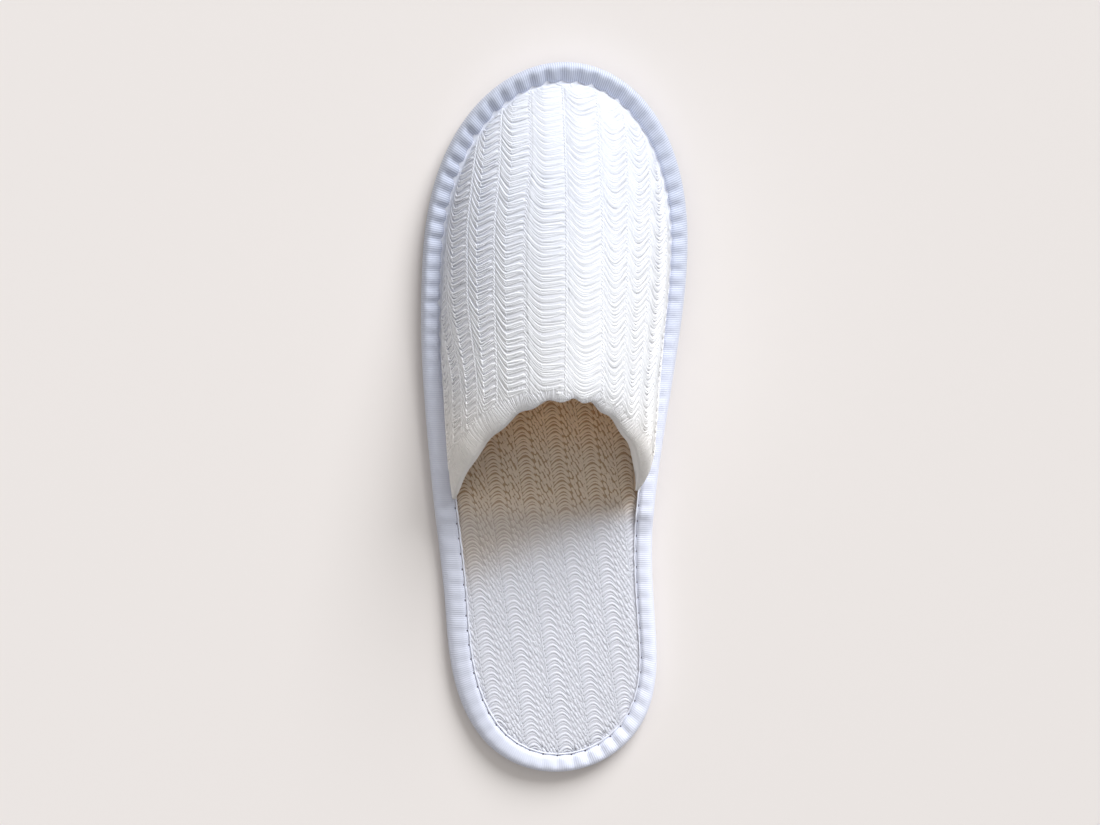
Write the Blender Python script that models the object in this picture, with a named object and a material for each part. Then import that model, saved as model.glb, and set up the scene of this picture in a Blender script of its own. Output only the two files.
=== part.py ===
"""Closed-toe hotel slipper for the left foot, standing on its sole.

A foam board, a knitted insole on it, a hollow knitted upper sewn on at its edge, and a tape that wraps and
binds all three. Metres, +Y to the toe, +X to the inner side of the foot, +Z up, floor at z = 0.
"""

import math
from collections import namedtuple

import bmesh
import bpy

# Plan of the sole. A place is a distance from the back of the heel along the foot.
LENGTH = 0.285
BALL_WIDTH = 0.1046
HEEL_WIDTH = 0.0842
HEEL_CAP = 0.062
WAIST = 0.072
BALL = 0.205
TOE_FULLNESS = 2.3
HEEL_FULLNESS = 2.85

# The middle line of the sole bends with the foot: shift towards the inner side at each place.
Bend = namedtuple("Bend", "place shift")
MIDDLE_LINE = [
    Bend(0.000, 0.0014),
    Bend(0.025, 0.0015),
    Bend(0.062, -0.0010),
    Bend(0.107, -0.0036),
    Bend(0.156, -0.0024),
    Bend(0.205, 0.0004),
    Bend(0.245, 0.0022),
    Bend(0.285, 0.0040),
]

# The toe end of the sole lifts off the floor from this place on.
SPRING_FROM = 0.222
TOE_SPRING = 0.004

# Layers, bottom to top. Neighbours stay this gap apart.
GAP = 0.0003
SOLE_TOP = 0.0050
INSOLE_TOP = 0.0070
FLANGE_TOP = 0.0093

# Tape: its cloth, the roundness of the edge, and how far its flaps reach in from the edge.
TAPE = 0.0009
TAPE_ROUND = 0.0024
TAPE_ROUND_STEPS = 3
TAPE_UNDER = 0.0075
TAPE_OVER = 0.0066
STEP_FROM = 0.098
STEP_TO = 0.108

# Upper. The foot line is where its wall rises from the flange, the rest is in the table of sections.
FOOT_INSET = 0.0078
FLANGE_INSET = 0.0027
WALL = 0.0030
FLANGE = 0.0020
HEM_THICK = 0.0022
HEM_PINCH = 0.45
HEM_ROWS = 4
HEM_ROUND = 0.0008
HEM_REACH = 0.0085
HEM_CURL = 0.0040
HEM_ROLL = 0.0024
THROAT_MIDDLE = 0.1582
THROAT_END_LEFT = 0.1132
THROAT_END_RIGHT = 0.1160
THROAT_FULLNESS = 2.4
THROAT_TAPER = 1.45
STEEPNESS = 0.85

# Section: rise of the crest above the flange, lean of the crest towards the inner side as a share of the
# half width, fullness of each wall, and how far each wall bows out over the edge.
Section = namedtuple("Section", "place rise lean full_left full_right bow_left bow_right")
SECTIONS = [
    Section(0.105, 0.0520, 0.15, 1.90, 2.30, 0.0064, 0.0088),
    Section(0.135, 0.0520, 0.15, 1.90, 2.20, 0.0060, 0.0080),
    Section(0.160, 0.0510, 0.15, 1.90, 2.00, 0.0051, 0.0066),
    Section(0.182, 0.0480, 0.15, 1.95, 1.90, 0.0040, 0.0052),
    Section(0.207, 0.0426, 0.13, 2.00, 1.90, 0.0028, 0.0040),
    Section(0.235, 0.0334, 0.09, 2.10, 2.00, 0.0015, 0.0024),
    Section(0.258, 0.0222, 0.05, 2.20, 2.20, 0.0010, 0.0012),
    Section(0.274, 0.0114, 0.01, 2.40, 2.40, 0.0004, 0.0004),
    Section(0.281, 0.0052, 0.00, 2.50, 2.50, 0.0001, 0.0001),
    Section(0.285, 0.0000, 0.00, 2.50, 2.50, 0.0000, 0.0000),
]

# Divisions
CAP_STEPS = 15
SIDE_STEPS = 16
ACROSS_STEPS = 40
ALONG_STEPS = 26
ALONG_BEFORE_BALL = 14
ACROSS_CROWDING = 0.9
THROAT_CROWDING = 1.5
MERGE = 0.00001

LEFT, RIGHT = -1, 1


def clear_scene():
    for item in list(bpy.data.objects):
        bpy.data.objects.remove(item, do_unlink=True)


def smoothstep(t):
    t = min(max(t, 0.0), 1.0)
    return t * t * (3 - 2 * t)


def read_table(rows, column, place):
    """A column of a table at a place between its rows, on a smooth curve through them."""
    last = len(rows) - 1
    i = max(k for k in range(last) if rows[k].place <= place or k == 0)

    def value(k):
        return getattr(rows[k], column)

    def slope(k):
        before, after = max(k - 1, 0), min(k + 1, last)
        return (value(after) - value(before)) / (rows[after].place - rows[before].place)

    span = rows[i + 1].place - rows[i].place
    t = min(max((place - rows[i].place) / span, 0.0), 1.0)
    start = (1 + 2 * t) * (1 - t) ** 2 * value(i) + t * (1 - t) ** 2 * span * slope(i)
    end = t * t * (3 - 2 * t) * value(i + 1) - t * t * (1 - t) * span * slope(i + 1)
    return start + end


def half_width(place, inset):
    """Half the width of the outline at a place, for the outline drawn in by an inset."""
    ball, heel = BALL_WIDTH / 2, HEEL_WIDTH / 2
    if place > BALL:
        share = (place - BALL) / (LENGTH - BALL)
        return (ball - inset) * math.sqrt(max(1 - share ** TOE_FULLNESS, 0.0))
    if place < HEEL_CAP:
        share = (HEEL_CAP - place) / HEEL_CAP
        return (heel - inset) * math.sqrt(max(1 - share ** HEEL_FULLNESS, 0.0))
    return heel + (ball - heel) * smoothstep((place - WAIST) / (BALL - WAIST)) - inset


def along(place, inset):
    """Where a place lies along the foot once the round ends are drawn in by an inset."""
    if place > BALL:
        return BALL + (place - BALL) * (1 - inset / (LENGTH - BALL))
    if place < HEEL_CAP:
        return HEEL_CAP - (HEEL_CAP - place) * (1 - inset / HEEL_CAP)
    return place


def spring(y):
    """How far the sole has lifted off the floor at a distance from the heel."""
    share = max(y - SPRING_FROM, 0.0) / (LENGTH - SPRING_FROM)
    return TOE_SPRING * share * share


def outline_middle():
    """The middle of the outline's width, which the object's own axis passes through."""
    sides = [
        [read_table(MIDDLE_LINE, "shift", place) + side * half_width(place, 0) for place in cap_places()]
        for side in (LEFT, RIGHT)
    ]
    return (min(sides[0]) + max(sides[1])) / 2


def cap_places():
    """Places from heel to toe, closer together round both ends."""
    turns = [k / CAP_STEPS * math.pi / 2 for k in range(CAP_STEPS + 1)]
    heel = [HEEL_CAP * (1 - math.cos(turn) ** (2 / HEEL_FULLNESS)) for turn in turns]
    side = [HEEL_CAP + (BALL - HEEL_CAP) * k / SIDE_STEPS for k in range(1, SIDE_STEPS)]
    toe = [BALL + (LENGTH - BALL) * math.sin(turn) ** (2 / TOE_FULLNESS) for turn in turns]
    return heel + side + toe


def on_foot(x, y, z):
    """A point given from the back of the heel, moved to the object's own origin and bent with the sole."""
    return (x - MIDDLE, y - LENGTH / 2, z + spring(y))


def edge_point(place, side, inset, z):
    x = read_table(MIDDLE_LINE, "shift", place) + side * half_width(place, inset)
    return on_foot(x, along(place, inset), z)


def material(name, colour, roughness):
    made = bpy.data.materials.new(name)
    made.use_nodes = True
    shader = made.node_tree.nodes["Principled BSDF"]
    shader.inputs["Base Color"].default_value = (*colour, 1)
    shader.inputs["Roughness"].default_value = roughness
    shader.inputs["Metallic"].default_value = 0
    return made


def finish(name, bm, colour, roughness, crease_deg=35):
    """Makes a node of a bmesh: one closed body, facing out."""
    bmesh.ops.recalc_face_normals(bm, faces=bm.faces)
    mesh = bpy.data.meshes.new(name)
    bm.to_mesh(mesh)
    bm.free()
    mesh.shade_smooth()
    mesh.set_sharp_from_angle(angle=math.radians(crease_deg))
    node = bpy.data.objects.new(name, mesh)
    node.data.materials.append(material(name, colour, roughness))
    bpy.context.scene.collection.objects.link(node)
    return node


def ring(bm, inset_at, z_at):
    """A closed loop of vertices round the outline, up the right side and back down the left."""
    places = cap_places()
    right = [(place, RIGHT) for place in places]
    left = [(place, LEFT) for place in reversed(places[1:-1])]
    return [bm.verts.new(edge_point(place, side, inset_at, z_at(place))) for place, side in right + left]


def skin(bm, rings):
    """Faces between each ring and the next."""
    for low, high in zip(rings, rings[1:]):
        for k in range(len(low)):
            after = (k + 1) % len(low)
            bm.faces.new((low[k], low[after], high[after], high[k]))


def cover(bm, loop):
    """Closes a ring with strips that run from side to side, so that it can bend along the foot."""
    count = len(loop)
    half = count // 2
    bm.faces.new((loop[0], loop[1], loop[count - 1]))
    for k in range(1, half - 1):
        bm.faces.new((loop[k], loop[k + 1], loop[count - k - 1], loop[count - k]))
    bm.faces.new((loop[half - 1], loop[half], loop[half + 1]))


def plate(profile):
    """A board with the outline's shape and an edge given as (inset, z) steps from its bottom to its top."""
    bm = bmesh.new()
    rings = [ring(bm, inset, lambda place, z=z: z) for inset, z in profile]
    skin(bm, rings)
    cover(bm, rings[0])
    cover(bm, rings[-1])
    return bm


def build_sole():
    rim = TAPE + GAP
    profile = [
        (TAPE_UNDER + GAP, 0),
        (TAPE_UNDER + GAP, rim),
        (TAPE_ROUND, rim),
        (rim, TAPE_ROUND),
        (rim, SOLE_TOP),
    ]
    finish("sole", plate(profile), (0.62, 0.60, 0.62), 0.85)


def build_insole():
    bottom = SOLE_TOP + GAP
    profile = [(FLANGE_INSET - GAP, bottom), (FLANGE_INSET, INSOLE_TOP)]
    finish("insole", plate(profile), (0.70, 0.70, 0.73), 0.9)


def tape_top(place):
    """Height of the tape's top flap, which steps up where the upper's flange lies under it."""
    heel_part = INSOLE_TOP + GAP + TAPE
    fore_part = FLANGE_TOP + GAP + TAPE
    return heel_part + (fore_part - heel_part) * smoothstep((place - STEP_FROM) / (STEP_TO - STEP_FROM))


def tape_profile():
    """The tape's section as (inset, height above the floor, height below the top), one of the two unset."""
    def path(depth, radius):
        turns = [k / TAPE_ROUND_STEPS * math.pi / 2 for k in range(TAPE_ROUND_STEPS + 1)]
        under = [(TAPE_UNDER, depth, None)]
        under += [
            (TAPE_ROUND - radius * math.sin(turn), TAPE_ROUND - radius * math.cos(turn), None)
            for turn in turns
        ]
        over = [
            (TAPE_ROUND - radius * math.cos(turn), None, TAPE_ROUND - radius * math.sin(turn))
            for turn in turns
        ]
        over += [(TAPE_OVER, None, depth)]
        return under + over

    outer = path(0.0, TAPE_ROUND)
    inner = path(TAPE, TAPE_ROUND - TAPE)
    return outer + inner[::-1]


def build_binding():
    bm = bmesh.new()
    rings = []
    for inset, above_floor, below_top in tape_profile():
        if above_floor is None:
            rings.append(ring(bm, inset, lambda place, drop=below_top: tape_top(place) - drop))
        else:
            rings.append(ring(bm, inset, lambda place, z=above_floor: z))
    skin(bm, rings + rings[:1])
    finish("binding", bm, (0.72, 0.75, 0.86), 0.8)


def throat_place(across):
    """Where the throat's edge crosses a line of the upper, -1 the left foot line and 1 the right."""
    end = THROAT_END_RIGHT if across > 0 else THROAT_END_LEFT
    arch = max(1 - abs(across) ** THROAT_FULLNESS, 0.0) ** THROAT_TAPER
    return end + (THROAT_MIDDLE - end) * arch


def upper_place(across, share):
    """A place along the upper: share 0 at the throat's edge, 1 at the tip of the toe."""
    start = throat_place(across)
    side_share = ALONG_BEFORE_BALL / ALONG_STEPS
    if share < side_share:
        return start + (BALL - start) * (share / side_share) ** THROAT_CROWDING
    turn = (share - side_share) / (1 - side_share) * math.pi / 2
    return BALL + (LENGTH - BALL) * math.sin(turn) ** (2 / TOE_FULLNESS)


def upper_point(across, place, depth=0.0):
    """A point on the upper's wall, on the arched section at a place, at a depth under its outer face."""
    row = {name: read_table(SECTIONS, name, place) for name in Section._fields[1:]}
    side = RIGHT if across > 0 else LEFT
    full = row["full_right"] if across > 0 else row["full_left"]
    bow = row["bow_right"] if across > 0 else row["bow_left"]
    half = half_width(place, FOOT_INSET + depth)
    crest = read_table(MIDDLE_LINE, "shift", place) + row["lean"] * half
    reach = half * (1 - side * row["lean"])
    base = FLANGE_TOP - FLANGE * min(depth / WALL, 1)
    rise = max(FLANGE_TOP + row["rise"] - depth - base, 0.0)
    height = max(1 - abs(across) ** full, 0.0) ** STEEPNESS
    x = crest + side * (reach * abs(across) + bow * math.sin(math.pi * height))
    return on_foot(x, along(place, FOOT_INSET + depth), base + rise * height)


def curl_at(across):
    """How deep the hem curls in. On the right it rolls in further, low on its wall."""
    if across < 0:
        return HEM_CURL * (1 - across ** 6)
    return (HEM_CURL + HEM_ROLL * smoothstep((across - 0.55) / 0.30)) * (1 - across ** 16)


def hem_curl(across, place):
    """How deep the upper has curled in under itself, close to the throat's edge."""
    beyond = place - throat_place(across)
    if beyond > 2 * HEM_REACH:
        return 0.0
    small = 0.02
    a = min(max(across, small - 1), 1 - small)
    rise = throat_place(a + small) - throat_place(a - small)
    run = math.dist(upper_point(a + small, place), upper_point(a - small, place))
    share = max(1 - beyond / math.hypot(1, rise / run) / HEM_REACH, 0.0)
    return curl_at(across) * (1 - math.sqrt(max(1 - share * share, 0.0)))


def lining_depth(across, hem_share):
    """How deep the lining lies. The hem is thinner than the wall, and is pinched where it meets the sole."""
    hem = HEM_THICK + curl_at(across)
    depth = WALL + (hem - WALL) * hem_share ** 1.5
    return depth * (1 - HEM_PINCH * across ** 8 * hem_share)


def flange_point(side, place, depth=0.0):
    z = FLANGE_TOP - FLANGE * min(depth / WALL, 1)
    return edge_point(place, side, FLANGE_INSET, z)


def build_upper():
    """One sheet, the flange along its foot lines, then the same sheet again under it as the lining side."""
    bm = bmesh.new()
    columns = ACROSS_STEPS + 2
    bmesh.ops.create_grid(bm, x_segments=columns, y_segments=ALONG_STEPS, size=1)
    column_of = bm.verts.layers.int.new("column")
    row_of = bm.verts.layers.int.new("row")
    inner = bm.verts.layers.int.new("inner")
    for vert in bm.verts:
        vert[column_of] = round((vert.co.x + 1) / 2 * columns)
        vert[row_of] = round((vert.co.y + 1) / 2 * ALONG_STEPS)

    def place_vert(vert):
        column, share = vert[column_of], vert[row_of] / ALONG_STEPS
        if column in (0, columns):
            side = LEFT if column == 0 else RIGHT
            vert.co = flange_point(side, upper_place(side, share), WALL * vert[inner])
            return
        step = 2 * (column - 1) / ACROSS_STEPS - 1
        across = math.copysign(abs(step) ** ACROSS_CROWDING, step)
        place = upper_place(across, share)
        if vert[inner]:
            depth = lining_depth(across, max(1 - vert[row_of] / HEM_ROWS, 0))
        else:
            depth = hem_curl(across, place)
        vert.co = upper_point(across, place, depth)

    for vert in bm.verts:
        place_vert(vert)
    bmesh.ops.remove_doubles(bm, verts=bm.verts, dist=MERGE)

    copied = bmesh.ops.extrude_face_region(bm, geom=bm.faces[:], use_keep_orig=True)["geom"]
    for vert in [item for item in copied if isinstance(item, bmesh.types.BMVert)]:
        vert[inner] = 1
        place_vert(vert)

    throat = [
        edge
        for edge in bm.edges
        if all(vert[row_of] == 0 and 0 < vert[column_of] < columns for vert in edge.verts)
        and edge.verts[0][inner] == edge.verts[1][inner]
    ]
    bmesh.ops.bevel(
        bm, geom=throat, offset=HEM_ROUND, offset_type="OFFSET", segments=3, profile=0.5,
        affect="EDGES", clamp_overlap=True, material=-1,
    )
    finish("upper", bm, (0.86, 0.86, 0.90), 0.9)


MIDDLE = outline_middle()
clear_scene()
build_sole()
build_insole()
build_binding()
build_upper()
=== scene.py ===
"""Closed-toe hotel slipper for the left foot: knitted upper and insole, foam board, binding tape.

Metres, +Y to the toe, +X to the inner side of the foot, +Z up, floor at z = 0. A place is a distance from
the back of the heel along the foot.
"""

import random
from bisect import bisect_right
from collections import namedtuple
from math import copysign, cos, exp, pi, radians, sin, sqrt

import bmesh
import bpy
from mathutils import Matrix, Vector


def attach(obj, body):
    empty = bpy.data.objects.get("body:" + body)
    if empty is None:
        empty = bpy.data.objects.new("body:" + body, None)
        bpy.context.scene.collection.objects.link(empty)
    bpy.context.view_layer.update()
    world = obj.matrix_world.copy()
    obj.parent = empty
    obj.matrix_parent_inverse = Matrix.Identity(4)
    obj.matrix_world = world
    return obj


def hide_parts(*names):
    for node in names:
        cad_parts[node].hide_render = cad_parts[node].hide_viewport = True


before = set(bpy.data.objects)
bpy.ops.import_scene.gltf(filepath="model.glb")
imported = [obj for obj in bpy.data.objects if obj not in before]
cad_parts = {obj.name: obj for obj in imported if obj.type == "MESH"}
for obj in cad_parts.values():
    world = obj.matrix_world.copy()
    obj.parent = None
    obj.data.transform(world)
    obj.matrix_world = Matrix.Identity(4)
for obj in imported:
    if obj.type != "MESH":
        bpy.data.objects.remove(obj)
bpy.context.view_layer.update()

LEFT, RIGHT = -1, 1


def table(columns, *rows):
    """Rows of named values. Where read_table reads them, the first column holds the spots."""
    Row = namedtuple("Row", columns)
    return [Row(*row) for row in rows]


# ---------------- the foot's own shape
LENGTH = 0.285
BALL_WIDTH = 0.1046
HEEL_WIDTH = 0.0842
HEEL_CAP = 0.062
WAIST = 0.072
BALL = 0.205
TOE_FULLNESS = 2.3
HEEL_FULLNESS = 2.85

MIDDLE_LINE = table(
    "place shift",
    (0.000, 0.0014), (0.025, 0.0015), (0.062, -0.0010), (0.107, -0.0036),
    (0.156, -0.0024), (0.205, 0.0004), (0.245, 0.0022), (0.285, 0.0040),
)
SPRING_FROM = 0.222
TOE_SPRING = 0.004

SOLE_TOP = 0.0050
INSOLE_TOP = 0.0070
FLANGE_TOP = 0.0093
TAPE = 0.0009
STEP_FROM = 0.098
STEP_TO = 0.108

FOOT_INSET = 0.0078
FLANGE_INSET = 0.0027
WALL = 0.0030
FLANGE = 0.0020
THROAT_MIDDLE = 0.1582
THROAT_END_LEFT = 0.1132
THROAT_END_RIGHT = 0.1160
THROAT_FULLNESS = 2.4
THROAT_TAPER = 1.45
STEEPNESS = 0.85

# Section of the upper: rise and lean of the crest, fullness of each wall and its bow over the edge.
SECTIONS = table(
    "place rise lean full_left full_right bow_left bow_right",
    (0.105, 0.0520, 0.15, 1.90, 2.30, 0.0064, 0.0088),
    (0.135, 0.0520, 0.15, 1.90, 2.20, 0.0060, 0.0080),
    (0.160, 0.0510, 0.15, 1.90, 2.00, 0.0051, 0.0066),
    (0.182, 0.0480, 0.15, 1.95, 1.90, 0.0040, 0.0052),
    (0.207, 0.0426, 0.13, 2.00, 1.90, 0.0028, 0.0040),
    (0.235, 0.0334, 0.09, 2.10, 2.00, 0.0015, 0.0024),
    (0.258, 0.0222, 0.05, 2.20, 2.20, 0.0010, 0.0012),
    (0.274, 0.0114, 0.01, 2.40, 2.40, 0.0004, 0.0004),
    (0.281, 0.0052, 0.00, 2.50, 2.50, 0.0001, 0.0001),
    (0.285, 0.0000, 0.00, 2.50, 2.50, 0.0000, 0.0000),
)

# ---------------- the maker's sizes
# Upper knit: how far each ridge lies from the crease line over the cloth, at the throat, at the ball and at
# the toe. A row is one course of loops. Its strands fall to a knot and rise again: least left of the middle.
RIDGES = table(
    "column throat ball toe",
    (-6, -0.0670, -0.0905, -0.0792),
    (-5, -0.0572, -0.0752, -0.0660),
    (-4, -0.0476, -0.0600, -0.0528),
    (-3, -0.0380, -0.0440, -0.0396),
    (-2, -0.0282, -0.0298, -0.0264),
    (-1, -0.0150, -0.0164, -0.0132),
    (0, 0.0000, 0.0000, 0.0000),
    (1, 0.0150, 0.0142, 0.0134),
    (2, 0.0256, 0.0256, 0.0260),
    (3, 0.0348, 0.0380, 0.0390),
    (4, 0.0460, 0.0530, 0.0520),
    (5, 0.0580, 0.0680, 0.0650),
    (6, 0.0700, 0.0830, 0.0780),
)
RIDGE_PLACES = (0.158, 0.200, 0.215, 0.262)
ROW = 0.0028
YARN = 0.00042
FALL = 0.0070
RISE_OUTER = 0.0030
RISE_LEFT = 0.0010
RISE_RIGHT = 0.0040
KNOT_AT = 0.45
HEM_BAND = 0.0042
HEM_REACH = 0.0085
HEM_CURL = 0.0040
HEM_ROLL = 0.0024
CREST_CURL = 0.55
SCALLOP = 0.0007
SCALLOPS = 30
CREASE_X = 0.0022
CREASE_FROM = 0.240
CREASE_LEAN = 0.019

# Insole knit, laid at a slant on the board.
INSOLE_PERIOD = 0.0130
INSOLE_ROW = 0.00285
INSOLE_SLANT = radians(7.9)
INSOLE_STAGGER = 0.19
INSOLE_GROUND = 0.00006


def ease(t):
    """From 0 to 1, with a smooth start and end."""
    t = min(max(t, 0.0), 1.0)
    return t * t * (3 - 2 * t)


def mix(a, b, t):
    return a + (b - a) * t


def read_table(rows, name, at):
    """A smooth curve through one column of a table."""
    spots = [row[0] for row in rows]
    values = [getattr(row, name) for row in rows]
    last = len(spots) - 1
    i = min(max(bisect_right(spots, at) - 1, 0), last - 1)

    def slope(k):
        before, after = max(k - 1, 0), min(k + 1, last)
        return (values[after] - values[before]) / (spots[after] - spots[before])

    span = spots[i + 1] - spots[i]
    t = min(max((at - spots[i]) / span, 0.0), 1.0)
    start = (1 + 2 * t) * (1 - t) ** 2 * values[i] + t * (1 - t) ** 2 * span * slope(i)
    end = t * t * (3 - 2 * t) * values[i + 1] - t * t * (1 - t) * span * slope(i + 1)
    return start + end


def run_lengths(points):
    """Lengths along a run of points, from 0 at the first."""
    lengths = [0.0]
    for before, after in zip(points, points[1:]):
        lengths.append(lengths[-1] + (after - before).length)
    return lengths


def half_width(place, inset):
    ball, heel = BALL_WIDTH / 2, HEEL_WIDTH / 2
    if place > BALL:
        share = (place - BALL) / (LENGTH - BALL)
        return (ball - inset) * sqrt(max(1 - share ** TOE_FULLNESS, 0.0))
    if place < HEEL_CAP:
        share = (HEEL_CAP - place) / HEEL_CAP
        return (heel - inset) * sqrt(max(1 - share ** HEEL_FULLNESS, 0.0))
    return heel + (ball - heel) * ease((place - WAIST) / (BALL - WAIST)) - inset


def along(place, inset):
    if place > BALL:
        return BALL + (place - BALL) * (1 - inset / (LENGTH - BALL))
    if place < HEEL_CAP:
        return HEEL_CAP - (HEEL_CAP - place) * (1 - inset / HEEL_CAP)
    return place


def place_at(y, inset):
    """The place whose point of the outline, drawn in by an inset, lies at a distance y from the heel."""
    if y > BALL:
        return BALL + (y - BALL) / (1 - inset / (LENGTH - BALL))
    if y < HEEL_CAP:
        return HEEL_CAP - (HEEL_CAP - y) / (1 - inset / HEEL_CAP)
    return y


def spring(y):
    share = max(y - SPRING_FROM, 0.0) / (LENGTH - SPRING_FROM)
    return TOE_SPRING * share * share


# A turn goes once round the outline: 0 at the heel, 1 at the toe up the right side, 2 at the heel again.
HEEL_TURN = 0.25
TOE_TURN = 0.65


def turn_place(turn):
    part = turn if turn <= 1 else 2 - turn
    if part < HEEL_TURN:
        return HEEL_CAP * (1 - cos(part / HEEL_TURN * pi / 2) ** (2 / HEEL_FULLNESS))
    if part < TOE_TURN:
        return mix(HEEL_CAP, BALL, (part - HEEL_TURN) / (TOE_TURN - HEEL_TURN))
    angle = min((part - TOE_TURN) / (1 - TOE_TURN), 1.0) * pi / 2
    return BALL + (LENGTH - BALL) * sin(angle) ** (2 / TOE_FULLNESS)


def edge_x(place, side, inset):
    return read_table(MIDDLE_LINE, "shift", place) + side * half_width(place, inset)


outline_places = [LENGTH * k / 399 for k in range(400)]
left_most = min(edge_x(place, LEFT, 0) for place in outline_places)
right_most = max(edge_x(place, RIGHT, 0) for place in outline_places)
MIDDLE = (left_most + right_most) / 2


def on_foot(x, y, z):
    return Vector((x - MIDDLE, y - LENGTH / 2, z + spring(y)))


def edge_point(turn, inset, z):
    place = turn_place(turn)
    side = RIGHT if turn <= 1 else LEFT
    return on_foot(edge_x(place, side, inset), along(place, inset), z)


def tape_top(place):
    """The height of the tape's top: it steps up where the upper's flange goes in under it."""
    share = ease((place - STEP_FROM) / (STEP_TO - STEP_FROM))
    return mix(INSOLE_TOP + TAPE, FLANGE_TOP + TAPE, share)


# Lengths round the outline, measured along the middle of the tape.
LOOP_SPOTS = 1600
LOOP_INSET = 0.004
loop_turns = [2 * k / LOOP_SPOTS for k in range(LOOP_SPOTS + 1)]
loop_lengths = run_lengths([edge_point(turn, LOOP_INSET, 0) for turn in loop_turns])
LOOP = loop_lengths[-1]


def turn_at(length):
    """The turn at a length round the outline."""
    length = length % LOOP
    i = min(bisect_right(loop_lengths, length) - 1, LOOP_SPOTS - 1)
    share = (length - loop_lengths[i]) / (loop_lengths[i + 1] - loop_lengths[i])
    return mix(loop_turns[i], loop_turns[i + 1], share)


# ---------------- the upper's surface
def throat_line(across):
    end = THROAT_END_RIGHT if across > 0 else THROAT_END_LEFT
    arch = max(1 - abs(across) ** THROAT_FULLNESS, 0.0) ** THROAT_TAPER
    return end + (THROAT_MIDDLE - end) * arch


def throat_place(across):
    """The throat's edge, slightly scalloped where the hem's stitches draw it in."""
    wave = sin(SCALLOPS * across + 0.6) * max(1 - across ** 4, 0)
    return throat_line(across) + SCALLOP * wave


PLACE_SPOTS = 140
FIRST_PLACE = 0.100
section_spots = [mix(FIRST_PLACE, LENGTH, k / PLACE_SPOTS) for k in range(PLACE_SPOTS + 1)]
section_rows = [
    [read_table(SECTIONS, name, p) for name in SECTIONS[0]._fields[1:]]
    + [read_table(MIDDLE_LINE, "shift", p)]
    for p in section_spots
]


def spot_at(place):
    """A place counted in section spots."""
    return min(max((place - FIRST_PLACE) / (LENGTH - FIRST_PLACE) * PLACE_SPOTS, 0.0), PLACE_SPOTS - 1e-6)


def section_at(place):
    t = spot_at(place)
    i = int(t)
    return [mix(a, b, t - i) for a, b in zip(section_rows[i], section_rows[i + 1])]


def upper_point(across, place, depth=0.0):
    """A point of the dome: across is -1 at the left foot line, 0 at the crest and 1 at the right one."""
    rise, lean, full_left, full_right, bow_left, bow_right, middle = section_at(place)
    side = RIGHT if across > 0 else LEFT
    full = full_right if across > 0 else full_left
    bow = bow_right if across > 0 else bow_left
    half = half_width(place, FOOT_INSET + depth)
    crest = middle + lean * half
    reach = half * (1 - side * lean)
    base = FLANGE_TOP - FLANGE * min(max(depth / WALL, 0), 1)
    rise = max(FLANGE_TOP + rise - depth - base, 0.0)
    height = max(1 - abs(across) ** full, 0.0) ** STEEPNESS
    x = crest + side * (reach * abs(across) + bow * sin(pi * height))
    return on_foot(x, along(place, FOOT_INSET + depth), base + rise * height)


# Lengths over the dome from the crest out to each foot line, at each section spot.
GIRTH_SPOTS = 60
girth_tables = [
    {
        side: run_lengths([upper_point(side * k / GIRTH_SPOTS, spot) for k in range(GIRTH_SPOTS + 1)])
        for side in (LEFT, RIGHT)
    }
    for spot in section_spots
]


def across_from(tables, girth):
    side = RIGHT if girth > 0 else LEFT
    lengths = tables[side]
    reach = abs(girth)
    if reach >= lengths[-1]:
        return side * (1 + reach - lengths[-1])
    i = bisect_right(lengths, reach) - 1
    return side * (i + (reach - lengths[i]) / max(lengths[i + 1] - lengths[i], 1e-9)) / GIRTH_SPOTS


def crease_girth(place):
    """How far the crease line lies from the crest, over the dome."""
    _, lean, *_, middle = section_at(place)
    crest = middle + lean * half_width(place, FOOT_INSET) - MIDDLE
    return CREASE_X - CREASE_LEAN * max(CREASE_FROM - place, 0) - crest


def across_at(girth, place):
    """Across, -1 to 1, at a girth measured from the crease line. Past 1 it is off the dome."""
    t = spot_at(place)
    i = int(t)
    girth = girth + crease_girth(place)
    return mix(across_from(girth_tables[i], girth), across_from(girth_tables[i + 1], girth), t - i)


def girth_at(across, place):
    """The girth from the crease line at an across: the other way round from across_at."""
    lengths = girth_tables[round(spot_at(place))][RIGHT if across > 0 else LEFT]
    k = min(abs(across), 1.0) * GIRTH_SPOTS
    i = min(int(k), GIRTH_SPOTS - 1)
    return copysign(mix(lengths[i], lengths[i + 1], k - i), across) - crease_girth(place)


def to_throat(across, place):
    """Distance from the throat's edge, over the cloth."""
    small = 0.02
    a = min(max(across, -0.97), 0.97)
    rise = throat_line(a + small) - throat_line(a - small)
    near = min(max(place, THROAT_END_LEFT), BALL)
    run = (upper_point(a + small, near) - upper_point(a - small, near)).length
    return (place - throat_place(across)) / sqrt(1 + (rise / run) ** 2)


def curl_at(across):
    """How deep the hem curls in: least over the crest, and deepest low on the right, where it rolls in."""
    curl = HEM_CURL * mix(CREST_CURL, 1, ease(abs(across) / 0.4))
    if across < 0:
        return curl * (1 - across ** 6)
    return (curl + HEM_ROLL * ease((across - 0.55) / 0.30)) * (1 - across ** 16)


def hem_curl(across, edge):
    """How far the cloth has curled in under the dome at a distance from the throat's edge."""
    share = 1 - min(max(edge / HEM_REACH, 0.0), 1.0)
    return curl_at(across) * (1 - sqrt(max(1 - share * share, 0.0)))


def skin_point(across, place, depth=0.0):
    """The upper's outer face with its hem curled in."""
    if place < THROAT_MIDDLE + 2 * HEM_REACH:
        depth += hem_curl(across, to_throat(across, place))
    return upper_point(across, place, depth)


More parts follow.
